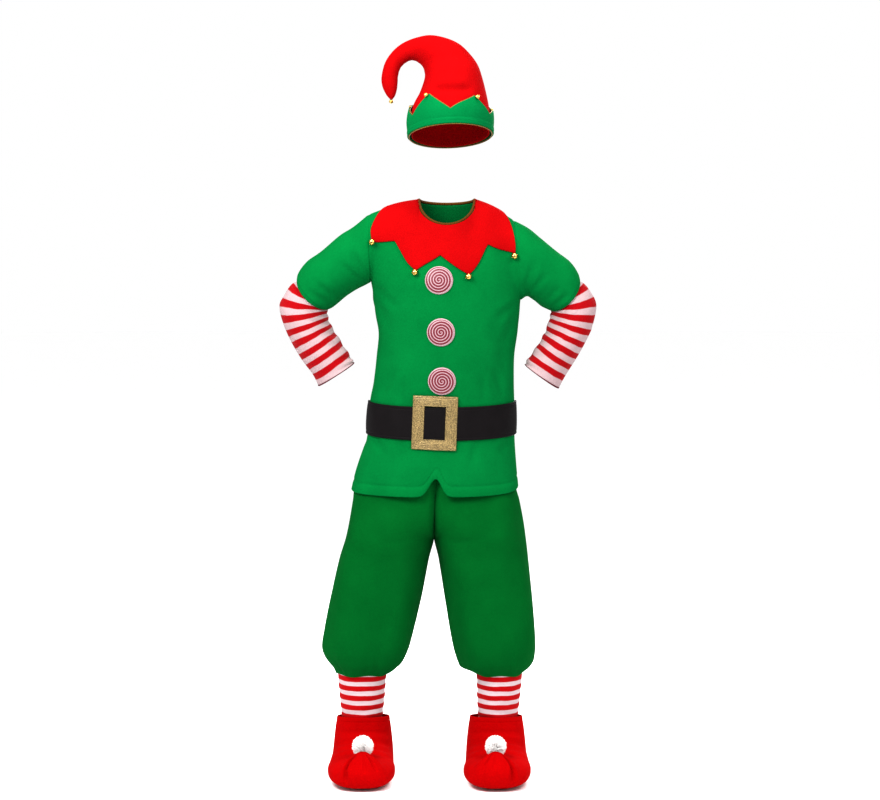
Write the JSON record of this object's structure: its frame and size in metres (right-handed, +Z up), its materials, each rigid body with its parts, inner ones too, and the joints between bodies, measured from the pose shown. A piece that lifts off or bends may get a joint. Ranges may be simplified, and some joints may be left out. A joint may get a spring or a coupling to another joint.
{
  "type": "elf costume",
  "caption": "Worn elf costume: curled hat, green tunic with pointed collar and belt, striped sleeves, knee breeches, stockings and curled-toe shoe covers.",
  "frame": {"origin": "middle of the neck opening of the tunic, where the costume hangs on its wearer's shoulders", "axes": "+Z up, -Y towards the front of the costume, +X towards the wearer's left"},
  "size_m": [0.681, 0.3127, 1.582],
  "materials": {
    "green_fleece": "napped fleece, tunic and upper sleeves",
    "dark_green_fleece": "napped fleece, knee breeches",
    "green_felt": "felted fleece, hat brim",
    "red_fleece": "napped fleece, hat and collar",
    "red_felt": "soft felt, shoe covers",
    "striped_jersey": "knitted jersey, red and white rings",
    "maroon_rib": "narrow turned edge at the cuff",
    "swirl_fabric": "padded satin, white and dark rose swirl",
    "black_belt": "soft black cloth band",
    "gold_glitter": "gold glitter cloth on a stiff backing",
    "gold_cord": "metallic piping",
    "gold_bell": "polished thin brass",
    "white_yarn": "fluffy yarn"
  },
  "bodies": {
    "root": {"tunic_front": "green_fleece", "tunic_back": "green_fleece", "sleeve_left": "green_fleece", "sleeve_right": "green_fleece", "striped_sleeve_left": "striped_jersey", "striped_sleeve_right": "striped_jersey", "stocking_left": "striped_jersey", "stocking_right": "striped_jersey", "cuff_binding_left": "maroon_rib", "cuff_binding_right": "maroon_rib", "collar": "red_fleece", "hat_front": "red_fleece", "hat_back": "red_fleece", "collar_bell_1": "gold_bell", "collar_bell_2": "gold_bell", "collar_bell_3": "gold_bell", "collar_bell_4": "gold_bell", "collar_bell_5": "gold_bell", "collar_bell_6": "gold_bell", "collar_bell_7": "gold_bell", "collar_bell_8": "gold_bell", "hat_bell_1": "gold_bell", "hat_bell_2": "gold_bell", "hat_bell_3": "gold_bell", "hat_bell_4": "gold_bell", "hat_bell_5": "gold_bell", "hat_bell_tip": "gold_bell", "neck_binding": "gold_cord", "hat_piping_top": "gold_cord", "hat_piping_bottom": "gold_cord", "button_1": "swirl_fabric", "button_2": "swirl_fabric", "button_3": "swirl_fabric", "belt": "black_belt", "buckle": "gold_glitter", "hat_brim": "green_felt", "breeches_left": "dark_green_fleece", "breeches_right": "dark_green_fleece", "shoe_left": "red_felt", "shoe_right": "red_felt", "shoe_left_sole": "red_felt", "shoe_right_sole": "red_felt", "pompom_left": "white_yarn", "pompom_right": "white_yarn"}
  },
  "joints": []
}
